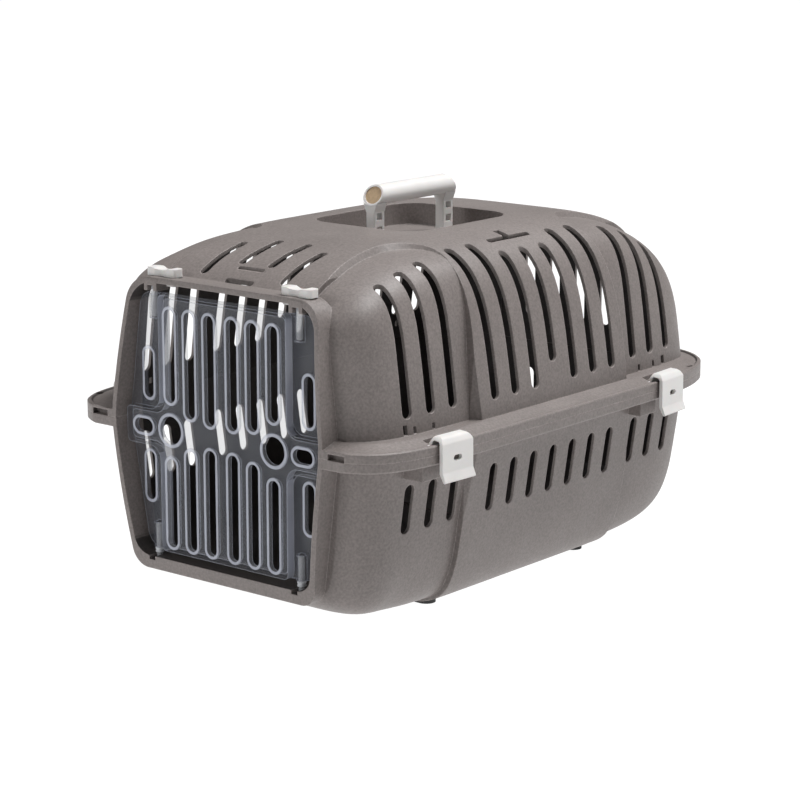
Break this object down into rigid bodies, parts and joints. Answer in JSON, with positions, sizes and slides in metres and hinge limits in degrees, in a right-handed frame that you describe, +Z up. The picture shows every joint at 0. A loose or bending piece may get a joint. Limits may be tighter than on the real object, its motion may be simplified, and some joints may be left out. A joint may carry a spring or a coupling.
{
  "type": "pet carrier",
  "caption": "Pet transport carrier: two vented plastic half shells clipped at a rim, a clear slotted hinged door with sliding catches, and a raised carrying handle in a roof recess",
  "frame": {"origin": "middle of the footprint, on the plane that the feet stand on", "axes": "+Z up, -Y towards the door end, +X the right-hand side seen from the door"},
  "size_m": [0.3254, 0.4482, 0.2952],
  "materials": {
    "shell": "fine matt grain",
    "light_plastic": "satin",
    "clear_door": "clear, gloss",
    "clear_pins": "clear, gloss",
    "core": "matt",
    "feet": "matt"
  },
  "bodies": {
    "base": {"lower_shell": "shell", "foot_front_right": "feet", "foot_front_left": "feet", "foot_rear_right": "feet", "foot_rear_left": "feet"},
    "lid": {"upper_shell": "shell"},
    "door": {"door_panel": "clear_door", "door_pin_lower_right": "clear_pins", "door_pin_lower_left": "clear_pins", "door_pin_upper_right": "clear_pins", "door_pin_upper_left": "clear_pins"},
    "catch_right": {"door_catch_right": "light_plastic"},
    "catch_left": {"door_catch_left": "light_plastic"},
    "handle": {"handle_grip": "light_plastic", "handle_core": "core", "handle_arm_front": "light_plastic", "handle_arm_rear": "light_plastic"},
    "clip_front_right": {"clip_front_right": "light_plastic"},
    "clip_front_left": {"clip_front_left": "light_plastic"},
    "clip_rear_right": {"clip_rear_right": "light_plastic"},
    "clip_rear_left": {"clip_rear_left": "light_plastic"}
  },
  "joints": [
    {"name": "lid_lift", "type": "slide", "parent": "base", "child": "lid", "axis": [0, 0, 1], "range_m": [0, 0.2]},
    {"name": "door_hinge", "type": "hinge", "parent": "base", "child": "door", "pos_m": [0.069, -0.21, 0.135], "axis": [0, 0, 1], "range_deg": [0, 110]},
    {"name": "catch_right_slide", "type": "slide", "parent": "lid", "child": "catch_right", "axis": [-1, 0, 0], "range_m": [0, 0.006]},
    {"name": "catch_left_slide", "type": "slide", "parent": "lid", "child": "catch_left", "axis": [1, 0, 0], "range_m": [0, 0.006]},
    {"name": "handle_slide", "type": "slide", "parent": "lid", "child": "handle", "axis": [0, 0, 1], "range_m": [-0.018, 0]},
    {"name": "clip_front_right_hinge", "type": "hinge", "parent": "lid", "child": "clip_front_right", "pos_m": [0.14798, -0.14964, 0.141], "axis": [-0.0514, -0.9987, 0], "range_deg": [0, 60]},
    {"name": "clip_front_left_hinge", "type": "hinge", "parent": "lid", "child": "clip_front_left", "pos_m": [-0.14798, -0.14964, 0.141], "axis": [-0.0514, 0.9987, 0], "range_deg": [0, 60]},
    {"name": "clip_rear_right_hinge", "type": "hinge", "parent": "lid", "child": "clip_rear_right", "pos_m": [0.1473, 0.11553, 0.141], "axis": [0.0677, -0.9977, 0], "range_deg": [0, 60]},
    {"name": "clip_rear_left_hinge", "type": "hinge", "parent": "lid", "child": "clip_rear_left", "pos_m": [-0.1473, 0.11553, 0.141], "axis": [0.0677, 0.9977, 0], "range_deg": [0, 60]}
  ]
}
